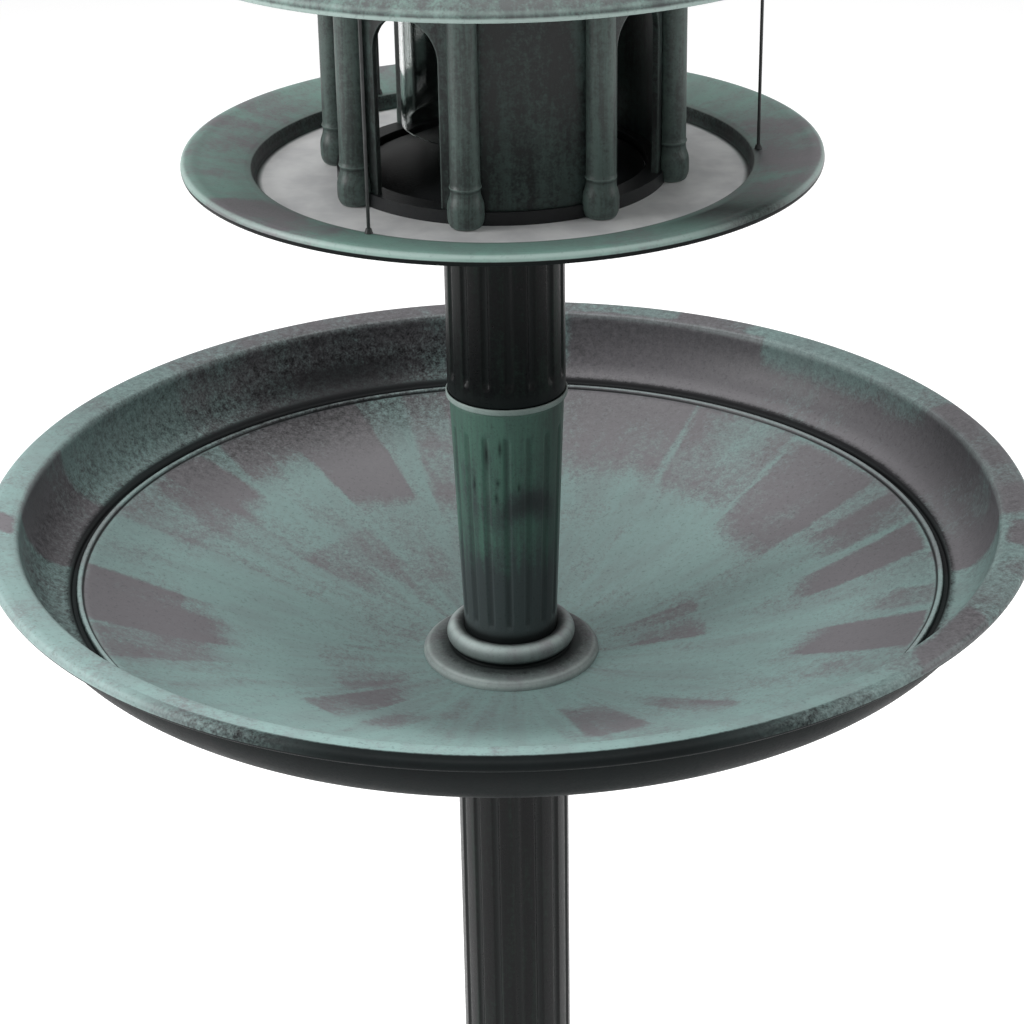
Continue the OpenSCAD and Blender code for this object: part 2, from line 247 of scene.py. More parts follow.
def turned(name, points, body, material, slot, nodes=(), segments=256, relief=None, centre=(0.0, 0.0)):
    """A closed outline turned about an upright axis, with optional relief(theta, r, z) along its normal.

    relief gives (outward millimetres, extra edge strength). The mesh carries the attribute edge, which
    the paint reads: above 0 the brush has caught an edge, below 0 the paint has missed a groove. On a
    pole section the flute relief also lowers it round the foot, which paints shade there.
    """
    theta = np.linspace(0.0, 2 * math.pi, segments, endpoint=False)
    normal = outline_normals(points)
    edge = np.repeat(edge_strength(points)[:, None], segments, axis=1)
    r = np.repeat(points[:, 0][:, None], segments, axis=1)
    z = np.repeat(points[:, 1][:, None], segments, axis=1)
    if relief is not None:
        out, extra = relief(theta[None], r, z)
        r = r + out * normal[:, 0][:, None]
        z = z + out * normal[:, 1][:, None]
        edge = np.clip(edge + extra, -1.0, 1.0)
    x = centre[0] + r * np.cos(theta)[None]
    y = centre[1] + r * np.sin(theta)[None]
    verts = np.stack([x, y, z], axis=2).reshape(-1, 3) * MM
    rows, cols = np.meshgrid(np.arange(len(points)), np.arange(segments), indexing="ij")
    next_row, next_col = (rows + 1) % len(points), (cols + 1) % segments
    quads = np.stack([rows * segments + cols, rows * segments + next_col,
                      next_row * segments + next_col, next_row * segments + cols], axis=2).reshape(-1, 4)
    on_axis = points[:, 0] <= AXIS_R
    quads = quads[~np.repeat(on_axis & np.roll(on_axis, -1), segments)]
    if signed_area(points) < 0:
        quads = quads[:, ::-1]
    piece = make_mesh(name, verts, quads, edge.reshape(-1), body, material, nodes)
    if on_axis.any():
        weld(piece.data)
    return piece


def weld(mesh):
    """Joins the points that meet on a piece's axis."""
    shape = bmesh.new()
    shape.from_mesh(mesh)
    bmesh.ops.remove_doubles(shape, verts=shape.verts, dist=1e-7)
    shape.to_mesh(mesh)
    shape.free()


def make_mesh(name, verts, faces, edge, body, material, nodes=()):
    mesh = bpy.data.meshes.new(name)
    mesh.from_pydata(np.asarray(verts).tolist(), [], np.asarray(faces).tolist())
    attribute = mesh.attributes.new("edge", "FLOAT", "POINT")
    attribute.data.foreach_set("value", np.asarray(edge, dtype=np.float32))
    mesh.shade_smooth()
    piece = bpy.data.objects.new(name, mesh)
    bpy.context.scene.collection.objects.link(piece)
    mesh.materials.append(material)
    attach(piece, body)
    if nodes:
        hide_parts(*nodes)
    return piece


# ---------------------------------------------------------------- paint


class Paint:
    """A material under construction: a Principled shader and short names for the nodes around it."""

    def __init__(self, name):
        self.material = bpy.data.materials.new(name)
        self.material.use_nodes = True
        self.tree = self.material.node_tree
        self.shader = self.tree.nodes["Principled BSDF"]
        self.place = self.tree.nodes.new("ShaderNodeTexCoord").outputs["Object"]

    def link(self, value, socket):
        if hasattr(value, "is_output"):
            self.tree.links.new(value, socket)
        else:
            socket.default_value = value

    def math(self, operation, a, b=0.0, c=0.0, clamp=False):
        node = self.tree.nodes.new("ShaderNodeMath")
        node.operation = operation
        node.use_clamp = clamp
        for value, socket in zip((a, b, c), node.inputs):
            self.link(value, socket)
        return node.outputs[0]

    def vector(self, operation, a, b=(0.0, 0.0, 0.0)):
        node = self.tree.nodes.new("ShaderNodeVectorMath")
        node.operation = operation
        self.link(a, node.inputs[0])
        if operation == "SCALE":
            self.link(b, node.inputs["Scale"])
        else:
            self.link(b, node.inputs[1])
        return node.outputs["Value" if operation in ("LENGTH", "DOT_PRODUCT") else "Vector"]

    def polar(self, around, along, rise=0.0):
        """Coordinates that follow the object round: a stroke is long where its scale is small."""
        flat = self.vector("MULTIPLY", self.place, (1.0, 1.0, 0.0))
        ring = self.vector("SCALE", self.vector("NORMALIZE", flat), around)
        reach = self.math("MULTIPLY", self.vector("LENGTH", flat), along)
        height = self.math("MULTIPLY", self.vector("DOT_PRODUCT", self.place, (0.0, 0.0, 1.0)), rise)
        combine = self.tree.nodes.new("ShaderNodeCombineXYZ")
        self.link(self.math("ADD", reach, height), combine.inputs["Z"])
        return self.vector("ADD", ring, combine.outputs[0])

    def noise(self, where, scale, detail=3.0, rough=0.5, warp=0.0, shift=0.0):
        node = self.tree.nodes.new("ShaderNodeTexNoise")
        if shift:
            where = self.vector("ADD", where, (shift, shift * 0.7, shift * 1.3))
        self.link(where, node.inputs["Vector"])
        self.link(scale, node.inputs["Scale"])
        self.link(detail, node.inputs["Detail"])
        self.link(rough, node.inputs["Roughness"])
        self.link(warp, node.inputs["Distortion"])
        return node.outputs["Fac"]

    def attribute(self, name):
        node = self.tree.nodes.new("ShaderNodeAttribute")
        node.attribute_name = name
        return node.outputs["Fac"]

    def sharp_edge(self, radius):
        """Above 0 within radius of a sharp edge, for shapes that carry no edge attribute."""
        soft = self.tree.nodes.new("ShaderNodeBevel")
        soft.samples = 4
        self.link(radius, soft.inputs["Radius"])
        flat = self.tree.nodes.new("ShaderNodeNewGeometry").outputs["Normal"]
        turned_away = self.math("SUBTRACT", 1.0, self.vector("DOT_PRODUCT", soft.outputs[0], flat))
        return self.math("MULTIPLY", turned_away, 4.0, clamp=True), soft.outputs[0]

    def span(self, value, low, high, to_low=0.0, to_high=1.0):
        node = self.tree.nodes.new("ShaderNodeMapRange")
        node.interpolation_type = "SMOOTHSTEP"
        for number, socket in zip((value, low, high, to_low, to_high), node.inputs):
            self.link(number, socket)
        return node.outputs[0]

    def mix(self, factor, a, b):
        node = self.tree.nodes.new("ShaderNodeMix")
        node.data_type = "RGBA"
        for value, socket in zip((factor, a, b), (node.inputs[0], node.inputs[6], node.inputs[7])):
            self.link((*value, 1.0) if isinstance(value, tuple) else value, socket)
        return node.outputs[2]

    def bump(self, height, strength, distance, normal=None):
        node = self.tree.nodes.new("ShaderNodeBump")
        self.link(strength, node.inputs["Strength"])
        self.link(distance, node.inputs["Distance"])
        self.link(height, node.inputs["Height"])
        if normal is not None:
            self.link(normal, node.inputs["Normal"])
        self.link(node.outputs[0], self.shader.inputs["Normal"])

    def finish(self, colour, roughness, specular=0.5):
        self.link(colour, self.shader.inputs["Base Color"])
        self.link(roughness, self.shader.inputs["Roughness"])
        self.link(specular, self.shader.inputs["Specular IOR Level"])
        return self.material


def dry_brushed(name, bare, coat, tip, strokes, cover=0.5, catch=0.9, speckle=0.25, gloss=0.42,
                coarse=1.0, streaky=0.6, specular=0.4, ragged=0.3, sharp=False, shaded=False):
    """Paint brushed over dark plastic: coat in strokes on bare plastic, tip on edges, dark in grooves.

    strokes is the (around, along, rise) scale of the brush marks, and cover is how much of the bare
    plastic they hide. catch is how strongly the brush catches the edges, speckle the dark flecks, and
    ragged the roughness of every paint edge. sharp finds the edges of a shape that carries no edge
    attribute. A shaded piece carries the attributes patch, which adds to the cover, tone, which darkens
    the colour towards black and holds painted light and shade besides bare plastic and marks, and
    dust, which is pale grey.
    """
    p = Paint(name)
    marks = p.noise(p.polar(*strokes), 1.0, 4.0, 0.62, 0.35)
    broad = p.noise(p.place, 9.0 * coarse, 2.0, 0.5, 0.0, 3.1)
    cloud = p.noise(p.place, 38.0 * coarse, 3.0, 0.6, 0.2, 5.3)
    rest = p.math("ADD", p.math("MULTIPLY", broad, 0.5), p.math("MULTIPLY", cloud, 0.5))
    amount = p.math("ADD", p.math("MULTIPLY", marks, streaky), p.math("MULTIPLY", rest, 1.0 - streaky))
    if shaded:
        amount = p.math("ADD", amount, p.attribute("patch"))
    grain = p.noise(p.place, 900.0 * coarse, 2.0, 0.6, 0.0, 1.7)
    sponge = p.noise(p.place, 330.0 * coarse, 2.0, 0.6, 0.0, 9.1)
    rough_edge = p.math("MULTIPLY", p.math("SUBTRACT", p.math("ADD", grain, sponge), 1.0), ragged)
    amount = p.math("ADD", amount, rough_edge)
    covered = p.span(amount, 0.54 - 0.3 * cover, 0.78 - 0.3 * cover)
    colour = p.mix(covered, bare, coat)
    drag = p.noise(p.polar(*[2.6 * scale for scale in strokes]), 1.0, 3.0, 0.6, 0.2, 8.3)
    scrape = p.math("ADD", p.math("MULTIPLY", drag, 0.6), p.math("MULTIPLY", cloud, 0.4))
    colour = p.mix(p.span(scrape, 0.42, 0.66, 0.0, 0.30), colour, bare)
    edge = p.attribute("edge")
    normal = None
    if sharp:
        sharp_edge, normal = p.sharp_edge(0.0012)
        edge = p.math("ADD", edge, sharp_edge)
    raised = p.span(p.math("ADD", edge, p.math("MULTIPLY", marks, 0.5)), 0.35, 0.95)
    colour = p.mix(p.math("MULTIPLY", raised, catch), colour, tip)
    fleck = p.noise(p.place, 620.0 * coarse, 1.0, 0.5, 0.0, 7.7)
    colour = p.mix(p.span(fleck, 0.60, 0.72, 0.0, speckle), colour, (0.012, 0.014, 0.014))
    if shaded:
        dusty = p.mix(p.span(cloud, 0.3, 0.7), (0.60, 0.60, 0.61), (0.78, 0.78, 0.78))
        colour = p.mix(p.attribute("dust"), colour, dusty)
        # tone carries painted light and shade: where it is low the colour goes towards black and the
        # sheen fades
        tone = p.attribute("tone")
        dim = p.math("MULTIPLY", p.span(tone, 0.03, 0.15, 0.0, 2.2), p.span(tone, 0.20, 0.45, 1.0, 0.2))
        spotted = p.math("ADD", tone, p.math("MULTIPLY", rough_edge, dim), clamp=True)
        colour = p.mix(spotted, (0.004, 0.0045, 0.005), colour)
        specular = p.span(tone, 0.0, 0.3, 0.05, specular)
    groove = p.span(edge, -0.12, -0.75)
    colour = p.mix(p.math("MULTIPLY", groove, 0.92), colour, (0.008, 0.010, 0.010))
    matt = p.math("ADD", amount, p.math("MULTIPLY", grain, 0.3))
    relief = p.math("ADD", p.math("MULTIPLY", marks, 0.5), p.math("MULTIPLY", grain, 0.5))
    p.bump(relief, 0.25, 0.0005, normal)
    return p.finish(colour, p.span(matt, 0.3, 1.0, gloss - 0.08, gloss + 0.16), specular)


def plain_moulding(name, colour, worn, gloss):
    """Unpainted moulded plastic or rubber with a fine grain and faint handling marks."""
    p = Paint(name)
    cloud = p.noise(p.place, 14.0, 3.0, 0.55)
    grain = p.noise(p.place, 1100.0, 2.0, 0.6, 0.0, 2.3)
    tone = p.math("ADD", p.math("MULTIPLY", cloud, 0.7), p.math("MULTIPLY", grain, 0.3))
    shade = p.mix(p.span(tone, 0.35, 0.75), colour, worn)
    p.bump(grain, 0.3, 0.0004)
    return p.finish(shade, p.span(tone, 0.3, 0.8, gloss - 0.06, gloss + 0.12), 0.4)


def metal(name, colour, roughness, metallic):
    p = Paint(name)
    streak = p.noise(p.vector("MULTIPLY", p.place, (1.0, 1.0, 0.12)), 1500.0, 2.0, 0.6)
    cloud = p.noise(p.place, 240.0, 2.0, 0.5, 0.0, 4.0)
    worn = tuple(min(1.0, 1.5 * c + 0.02) for c in colour)
    shade = p.mix(p.span(p.math("MULTIPLY", p.math("ADD", streak, cloud), 0.5), 0.35, 0.7), colour, worn)
    p.shader.inputs["Metallic"].default_value = metallic
    p.bump(streak, 0.2, 0.0002)
    return p.finish(shade, p.span(streak, 0.3, 0.8, roughness - 0.07, roughness + 0.1))


def clear_acrylic(name):
    p = Paint(name)
    haze = p.noise(p.place, 60.0, 3.0, 0.6)
    scratch = p.noise(p.polar(6.0, 0.0, 900.0), 1.0, 2.0, 0.7)
    p.shader.inputs["Transmission Weight"].default_value = 1.0
    p.shader.inputs["IOR"].default_value = 1.49
    shade = p.mix(p.span(haze, 0.4, 0.7), (0.93, 0.96, 0.95), (0.85, 0.90, 0.88))
    return p.finish(shade, p.span(scratch, 0.55, 0.8, 0.04, 0.18), 0.5)


PALE_EDGE = (0.36, 0.46, 0.43)

bowl_paint = dry_brushed(
    "bowl_paint", bare=(0.25, 0.238, 0.255), coat=(0.335, 0.50, 0.478), tip=(0.56, 0.71, 0.69),
    strokes=(5.0, 7.0), cover=0.80, catch=0.45, speckle=0.22, gloss=0.46, streaky=0.45, specular=0.25,
    ragged=0.22, shaded=True)
tray_paint = dry_brushed(
    "tray_paint", bare=(0.135, 0.128, 0.138), coat=(0.15, 0.26, 0.225), tip=PALE_EDGE,
    strokes=(5.0, 20.0), cover=0.66, catch=0.6, speckle=0.15, gloss=0.46, ragged=0.2, shaded=True)
roof_paint = dry_brushed(
    "roof_paint", bare=(0.05, 0.058, 0.058), coat=(0.12, 0.20, 0.175), tip=PALE_EDGE,
    strokes=(9.0, 7.0), cover=0.55, catch=0.8, speckle=0.2, streaky=0.5)
foot_paint = dry_brushed(
    "foot_paint", bare=(0.035, 0.04, 0.04), coat=(0.10, 0.17, 0.145), tip=PALE_EDGE,
    strokes=(6.0, 10.0), cover=0.5, catch=0.8, speckle=0.2, sharp=True)
house_paint = dry_brushed(
    "house_paint", bare=(0.010, 0.012, 0.012), coat=(0.045, 0.072, 0.064), tip=(0.13, 0.18, 0.165),
    strokes=(9.0, 0.0, 14.0), cover=0.45, catch=0.6, speckle=0.2, sharp=True)
pilaster_paint = dry_brushed(
    "pilaster_paint", bare=(0.045, 0.055, 0.052), coat=(0.085, 0.125, 0.112), tip=(0.17, 0.23, 0.21),
    strokes=(40.0, 0.0, 20.0), cover=0.6, catch=0.5, speckle=0.15)
green_pole_paint = dry_brushed(
    "green_pole_paint", bare=(0.058, 0.070, 0.072), coat=(0.080, 0.168, 0.130), tip=(0.12, 0.21, 0.17),
    strokes=(7.0, 0.0, 14.0), cover=0.72, catch=0.3, speckle=0.25, gloss=0.40, coarse=1.5, streaky=0.42,
    ragged=0.16, shaded=True)
dark_pole_paint = dry_brushed(
    "dark_pole_paint", bare=(0.0035, 0.0038, 0.0042), coat=(0.009, 0.018, 0.014),
    tip=(0.03, 0.045, 0.038), strokes=(6.0, 0.0, 9.0), cover=0.22, catch=0.25, speckle=0.1, gloss=0.30,
    specular=0.14)
ring_paint = dry_brushed(
    "ring_paint", bare=(0.095, 0.092, 0.100), coat=(0.18, 0.23, 0.22), tip=(0.45, 0.54, 0.52),
    strokes=(3.0, 60.0, 40.0), cover=0.45, catch=0.9, speckle=0.12)
collar_paint = dry_brushed(
    "collar_paint", bare=(0.36, 0.35, 0.37), coat=(0.42, 0.51, 0.49), tip=(0.74, 0.84, 0.81),
    strokes=(3.0, 60.0, 40.0), cover=0.5, catch=0.75, speckle=0.12, gloss=0.38, ragged=0.1, shaded=True)
bead_paint = dry_brushed(
    "bead_paint", bare=(0.07, 0.08, 0.078), coat=(0.20, 0.25, 0.235), tip=(0.36, 0.45, 0.42),
    strokes=(4.0, 0.0, 60.0), cover=0.5, catch=0.7, speckle=0.1, ragged=0.1, shaded=True)
black_plastic = plain_moulding("black_plastic", (0.010, 0.011, 0.012), (0.022, 0.024, 0.025), 0.42)
rubber = plain_moulding("plug_rubber", (0.012, 0.012, 0.012), (0.03, 0.03, 0.03), 0.72)
steel = metal("screw_steel", (0.42, 0.42, 0.43), 0.34, 1.0)
wire_coat = metal("wire_coat", (0.015, 0.017, 0.017), 0.42, 0.0)
acrylic = clear_acrylic("clear_acrylic")


# ---------------------------------------------------------------- bath bowl


def dish_z(r):
    """Height of the bowl's floor: level at the pole, steeper towards the wall."""
    rise = DISH_EDGE_Z - 1.0 - FLOOR_Z
    return FLOOR_Z + rise * (max(0.0, r - HUB_R) / (FLOOR_R - HUB_R)) ** 1.3


def bath_outline():
    lip_r, lip_z = BATH_R - 16.0, RIM_Z - 1.7
    floor = [(r, dish_z(r), 0.0) for r in np.linspace(FLOOR_R, HUB_R, 40)]
    under_floor = [(r, z - WALL, 0.0) for r, z, _ in reversed(floor)]
    wall = cove(lip_r - 0.8, lip_z - 1.6, DISH_R, DISH_EDGE_Z, False, 20)
    under_wall = cove(lip_r + 3.0, lip_z - 6.2, DISH_R - 6.0, DISH_EDGE_Z - WALL, False, 20)
    lip = [
        (lip_r + 4.2, lip_z - 4.2, 1.0), (BATH_R - 1.4, RIM_Z - 5.4, 1.0), (BATH_R, RIM_Z - 4.0, 1.0),
        (BATH_R - 1.0, RIM_Z - 0.9, 1.6), (BATH_R - 4.6, RIM_Z, 2.0), (lip_r + 0.6, lip_z + 0.1, 4.5),
    ]
    groove_and_ridge = [
        (DISH_R - 0.6, DISH_EDGE_Z - 1.7, 0.5), (DISH_R - 2.7, DISH_EDGE_Z - 1.7, 0.5),
        (DISH_R - 3.2, DISH_EDGE_Z + 0.5, 0.7), (DISH_R - 5.2, DISH_EDGE_Z + 0.5, 0.7),
        (DISH_R - 5.8, DISH_EDGE_Z - 1.3, 0.3),
    ]
    under = [(HOLE_R, FLOOR_Z - WALL, 0.3)] + under_floor + under_wall[::-1]
    return rounded(under + lip + wall + groove_and_ridge + floor + [(HOLE_R, FLOOR_Z, 0.3)])


def smooth(value, low, high):
    t = np.clip((value - low) / (high - low), 0.0, 1.0)
    return t * t * (3.0 - 2.0 * t)


# The painter's strokes on the bowl, laid from the rim towards the middle:
# azimuth and half width in degrees, inner and outer radius, and how much paint they add or leave off
BOWL_STROKES = (
    # floor, near the wall
    (-171, 8, 142, 206, -0.22), (-160, 5, 150, 206, -0.14), (145, 4, 166, 206, -0.26),
    (155, 8, 158, 206, -0.12), (119, 7, 138, 206, -0.28), (134, 6, 178, 206, -0.18),
    (104, 4, 122, 206, -0.17), (93, 6, 160, 206, -0.12), (72, 13, 150, 206, -0.18),
    (48, 9, 142, 206, -0.16), (29, 9, 134, 203, -0.20), (13, 4, 160, 206, -0.16),
    (2, 4, 146, 203, -0.25), (-21, 5, 150, 204, -0.27), (-11, 3, 176, 206, -0.14),
    # floor, near the pole
    (6, 11, 55, 96, -0.13), (-160, 16, 62, 98, -0.10), (-134, 6, 78, 130, -0.16),
    (-118, 4, 96, 128, -0.10), (-66, 7, 76, 130, -0.12), (-50, 3, 100, 150, -0.10),
    (137, 11, 88, 122, -0.10), (176, 12, 84, 160, 0.10), (-100, 20, 120, 206, 0.10),
    # side wall and lip
    (8, 15, 206, 251, -0.22), (36, 20, 206, 232, -0.24), (68, 14, 206, 236, -0.22),
    (62, 5, 232, 251, -0.14), (116, 24, 206, 251, -0.12), (172, 9, 206, 234, -0.22),
    (-173, 2, 236, 251, -0.26), (-38, 6, 236, 251, -0.22), (-13, 3, 238, 251, -0.20),
    (90, 10, 234, 251, -0.10),
)


def brush_patches(r, theta):
    """Below 0 the mauve plastic shows through, above 0 the green is thick."""
    amount = np.zeros_like(r)
    for azimuth, half, inner, outer, strength in BOWL_STROKES:
        skew = 2.5 * math.sin(0.7 * azimuth)
        lean = skew * (r - inner) / (outer - inner)
        turn = (np.degrees(theta) - azimuth - lean + 180.0) % 360.0 - 180.0
        across = 1.0 - smooth(np.abs(turn), half - 0.6, half + 0.6)
        tail = 13.0 if outer < DISH_R - 5.0 else 1.5  # the brush lifts off slowly on the floor
        along = smooth(r, inner - tail, inner + tail) * (1.0 - smooth(r, outer - 2.0, outer + 2.0))
        amount += strength * across * along
    return np.maximum(amount, -0.34)


def bump_at(theta, azimuth, spread):
    """1 at an azimuth in degrees, falling away over the given spread."""
    turn = (np.degrees(theta) - azimuth + 180.0) % 360.0 - 180.0
    return np.exp(-((turn / spread) ** 2))


def bowl_light_and_shade(r, theta, under):
    """Painted light in front, painted shade at the back left, on the right and on the wall; bare beneath.
    """
    # Painted light on the floor in front, painted shade at the back, at the back left, on the right and
    # towards the wall
    outward = smooth(r, 160.0, DISH_R - 6.0)
    front = 1.0 + 0.70 * bump_at(theta, -98.0, 38.0) * smooth(r, 95.0, 140.0)
    back = 1.0 - 0.22 * bump_at(theta, 95.0, 50.0)
    back_left = 1.0 - 0.70 * bump_at(theta, 122.0, 30.0) * outward
    right = 1.0 - 0.16 * bump_at(theta, -2.0, 28.0) * outward
    floor_tone = front * back * back_left * right * (1.0 - 0.18 * outward)
    # Painted shade on the side wall: darker at the back left and towards the lip, lighter towards the
    # back right
    wall_tone = 0.62 + 0.2 * np.cos(theta - math.radians(45.0)) - 0.58 * bump_at(theta, 112.0, 28.0)
    wall_tone = wall_tone * (1.0 - 0.1 * smooth(r, DISH_R + 6.0, DISH_R + 18.0))
    # Painted light on the front and left of the lip, painted shade on its back and right
    lip_tone = 1.08 - 0.5 * smooth(np.cos(theta - math.radians(58.0)), -0.45, 0.0)
    lip_tone += 0.30 * bump_at(theta, -104.0, 28.0) - 0.26 * bump_at(theta, -58.0, 22.0)
    wall = smooth(r, DISH_R - 1.0, DISH_R + 3.0)
    lip = smooth(r, BATH_R - 23.0, BATH_R - 11.0)
    tone = 0.54 * (floor_tone * (1.0 - wall) + wall_tone * wall * (1.0 - lip) + lip_tone * lip)
    # Painted highlight on the ridge, and painted shade in the groove at the foot of the wall, wider
    # towards the back
    ridge = np.exp(-(((r - DISH_R + 4.3) / 1.3) ** 2))
    recess_shade_r = DISH_R + 1.6 + 4.2 * smooth(np.sin(theta), -0.3, 0.9)
    recess_shade = smooth(r, DISH_R - 3.9, DISH_R - 2.7) * (1.0 - smooth(r, recess_shade_r - 1.6, recess_shade_r + 1.6))
    tone = tone * (1.0 + 0.1 * ridge) * (1.0 - 0.95 * recess_shade)
    # Painted shade on the front of the rolled lip, which faces down
    roll = smooth(r, BATH_R - 6.4, BATH_R - 5.2) * smooth(-np.sin(theta), 0.68, 0.97)
    return np.where(under, BARE_TONE, np.clip(tone, 0.0, 1.0) * (1.0 - 0.98 * roll))

def set_attribute(piece, name, values):
    attribute = piece.data.attributes.new(name, "FLOAT", "POINT")
    attribute.data.foreach_set("value", np.asarray(values, dtype=np.float32).reshape(-1))


def ring_grid(points, segments):
    """Radius, height and azimuth of every vertex that turned() makes from an outline."""
    theta = np.linspace(0.0, 2 * math.pi, segments, endpoint=False)
    theta = (theta + math.pi) % (2 * math.pi) - math.pi
    return (np.repeat(points[:, :1], segments, axis=1), np.repeat(points[:, 1:], segments, axis=1),
            np.repeat(theta[None], len(points), axis=0))


def underside(points):
    """Which outline points lie before the widest one, where the outline starts underneath."""
    return np.arange(len(points))[:, None] <= np.argmax(points[:, 0])


def add_bath():
    segments = 512
    points = refine(bath_outline(), lambda r, z: 3.0 if z > FLOOR_Z + 2.0 and r > 50.0 else 6.0)
    bowl = turned("bath_bowl_moulded", points, "stand", bowl_paint, "painted_bowl", ["bath_bowl"],
                  segments)
    r, z, theta = ring_grid(points, segments)
    set_attribute(bowl, "patch", brush_patches(r, theta))
    set_attribute(bowl, "tone", bowl_light_and_shade(r, theta, underside(points)))


# ---------------------------------------------------------------- pole sections, collars and beads


def flute_relief(foot_z, top_z, foot_r, top_r, flute_low, flute_high, first, depth, contrast):
    """Round-nosed flutes cut into the outer face of a pole section, with painted shade at its foot."""

    def relief(theta, r, z):
        # Painted shade round the foot, where the section stands in a collar or a bead
        recess_shade = 1.3 * np.exp(-(((z - foot_z) / 7.0) ** 2))
        face_r = foot_r + (top_r - foot_r) * (z - foot_z) / (top_z - foot_z)
        pitch = 2 * math.pi / FLUTES
        turn = (theta - math.radians(first) + pitch / 2) % pitch - pitch / 2
        beyond = np.maximum(0.0, np.maximum(flute_low - z, z - flute_high))
        away = np.hypot(turn * face_r, beyond)
        bed = depth * np.sqrt(np.maximum(0.0, 1.0 - (away / 1.8) ** 2))
        outside = (r > face_r - 0.6) & (z > foot_z + 2.0)
        cut = np.where(outside, np.maximum(0.0, bed), 0.0)
        brink = np.exp(-((away - 2.3) ** 2) / 0.35) * np.where(outside, 1.0, 0.0)
        return -cut, contrast * (0.45 * brink - 1.1 * cut / depth) - np.minimum(recess_shade, 1.0)

    return relief


# Dark nicks in the green paint: azimuth in degrees, place up the section, half height and half width
POLE_NICKS = (
    (-113.0, 0.83, 0.055, 2.6), (-98.0, 0.86, 0.030, 2.0), (-101.0, 0.72, 0.014, 2.2),
    (-103.0, 0.655, 0.020, 1.8), (-79.0, 0.70, 0.018, 1.6), (-128.0, 0.70, 0.030, 1.6),
)


def add_pole_section(node, paint, slot, foot_z, flute_rise, foot_r=POLE_R, top_r=POLE_R,
                     bore=POLE_BORE_R, first=2.6, depth=1.2, contrast=0.7):
    """A fluted tube with a rounded foot. Its spigot stays hidden in the section below.

    The flutes run from flute_rise above the foot to just under the top. The azimuth of one is first.
    """
    segments = FLUTES * 22
    top_z = high_z(node)
    flute_low, flute_high = foot_z + flute_rise, top_z - FLUTE_STOP
    corners = [(bore, foot_z + 1.0, 0.4), (foot_r - 2.8, foot_z, 0.4)]
    corners += cove(foot_r - 2.8, foot_z, foot_r, foot_z + 2.8, True, 6)[1:]
    corners += [(top_r, top_z, 0.4), (bore, top_z, 0.4)]

    def step(r, z):
        if r < foot_r - 1.0 and bore < foot_r - 2.0 and r < bore + 1.0:
            return 30.0
        near = min(abs(z - flute_low), abs(z - flute_high))
        return 0.45 if near < 3.0 else 1.6

    points = refine(rounded(corners), step)
    relief = flute_relief(foot_z, top_z, foot_r, top_r, flute_low, flute_high, first, depth, contrast)
    section = turned(node + "_fluted", points, "stand", paint, slot, [node], segments, relief)
    r, z, theta = ring_grid(points, segments)
    height = (z - foot_z) / (top_z - foot_z)
    # A dark smudge at three fifths of the height on the front right, and painted shade down the front
    # right
    dark_patch = np.exp(-(((height - 0.60 - 0.03 * np.sin(4.0 * theta)) / 0.06) ** 2))
    dark_patch = dark_patch * bump_at(theta, -66.0, 34.0)
    light = (1.0 - 0.50 * dark_patch) * (1.0 - 0.62 * bump_at(theta, -30.0, 34.0))
    for azimuth, mark_height, half_height, half_width in POLE_NICKS:
        upright = np.exp(-(((height - mark_height) / half_height) ** 2))
        light = light * (1.0 - 0.85 * upright * bump_at(theta, azimuth, half_width))
    set_attribute(section, "patch", -0.26 * (1.0 - smooth(height, 0.15, 0.55)) - 0.22 * dark_patch)
    set_attribute(section, "tone", light)


def collar_outline(rad, z):
    """The two-step collar round a pole of radius rad: a flange, and a round ring on a short neck."""
    ring_r, ring_z, tube_r = rad + 3.9, z + 11.0, 5.0
    seat_r, seat_z = rad + 0.1, z + COLLAR_SEAT_H
    ring = [(ring_r + tube_r * math.cos(a), ring_z + tube_r * math.sin(a), 0.0)
            for a in np.radians(np.linspace(-62.0, 135.0, 22))]
    flange = [
        (HOLE_R, z, 0.2), (rad + 20.6, z, 0.3), (rad + 20.6, z + 2.2, 1.0), (rad + 18.6, z + 4.3, 1.6),
        (rad + 6.4, z + 5.0, 0.6),
    ]
    seat = [(seat_r, seat_z + 2.0, 0.3), (seat_r, seat_z, 0.2), (HOLE_R, seat_z, 0.2)]
    return rounded(flange + ring + seat)


def add_collar(node, rad, z):
    segments = 192
    points = refine(collar_outline(rad, z), lambda r, z: 2.5)
    collar = turned(node + "_moulded", points, "stand", collar_paint, "painted_ring", [node], segments)
    r, height, theta = ring_grid(points, segments)
    # Painted highlight on the ring's crest, painted light on the front left, painted shade on the rest of
    # the ring and on the flange next to it
    on_ring = smooth(height, z + 5.2, z + 6.4)
    crest = np.exp(-(((r - rad - 6.6) / 2.3) ** 2)) * smooth(height, z + 7.0, z + 10.5)
    side = 0.72 + 0.28 * np.cos(theta - math.radians(-128.0))
    outward = 0.22 * smooth(r, rad + 9.5, rad + 16.0) + 0.22 * smooth(r, rad + 16.0, rad + 18.5)
    ring_tone, flange_tone = 0.07 + 0.85 * crest * side, (0.08 + outward) * side
    set_attribute(collar, "patch", 0.14 * bump_at(theta, -125.0, 60.0))
    set_attribute(collar, "tone", on_ring * ring_tone + (1.0 - on_ring) * flange_tone)


